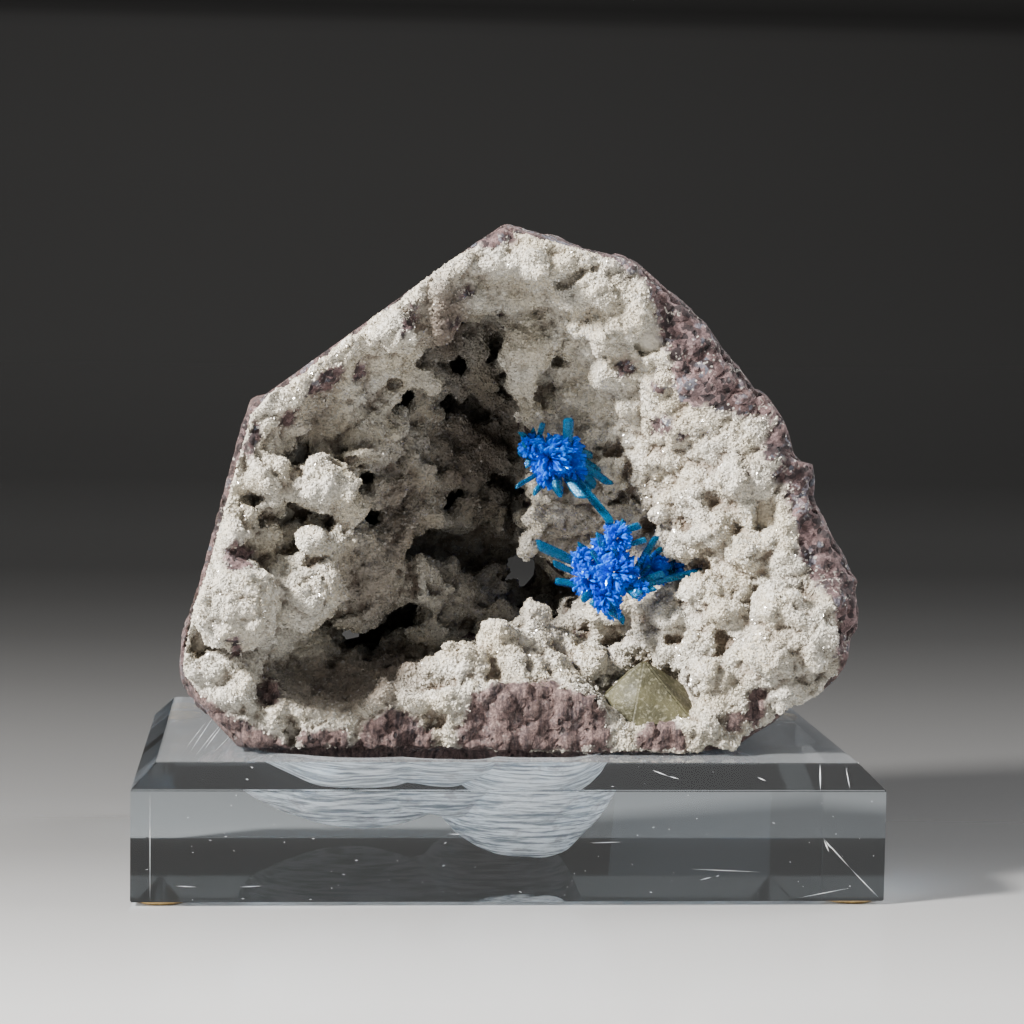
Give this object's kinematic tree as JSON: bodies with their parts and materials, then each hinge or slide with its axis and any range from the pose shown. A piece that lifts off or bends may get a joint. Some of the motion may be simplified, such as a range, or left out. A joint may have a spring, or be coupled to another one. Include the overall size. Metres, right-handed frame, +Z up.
{
  "type": "mineral specimen on a display stand",
  "caption": "Cabinet mineral specimen: sprays of flat blue prisms in the open hollow of a sawn basalt block with a sugary crust, fixed in a pocket of a bevelled clear block on thin pads.",
  "frame": {"origin": "middle of the footprint, on the surface that the four pads stand on", "axes": "+Z up, +X to the right along the front of the stand, +Y from the front to the back"},
  "size_m": [0.1054, 0.0716, 0.0951],
  "materials": {
    "acrylic": "clear, polished, with a frosted milled pocket",
    "pad": "satin",
    "basalt": "rough, saw-cut on three sides",
    "druse": "sugary, sparkling",
    "calcite": "satin, translucent",
    "pentagonite": "vitreous"
  },
  "bodies": {
    "root": {"acrylic_stand": "acrylic", "foot_front_left": "pad", "foot_front_right": "pad", "foot_back_left": "pad", "foot_back_right": "pad", "basalt_matrix": "basalt", "druse_lining": "druse", "calcite_crystal": "calcite", "pentagonite_crystals": "pentagonite"}
  },
  "joints": []
}
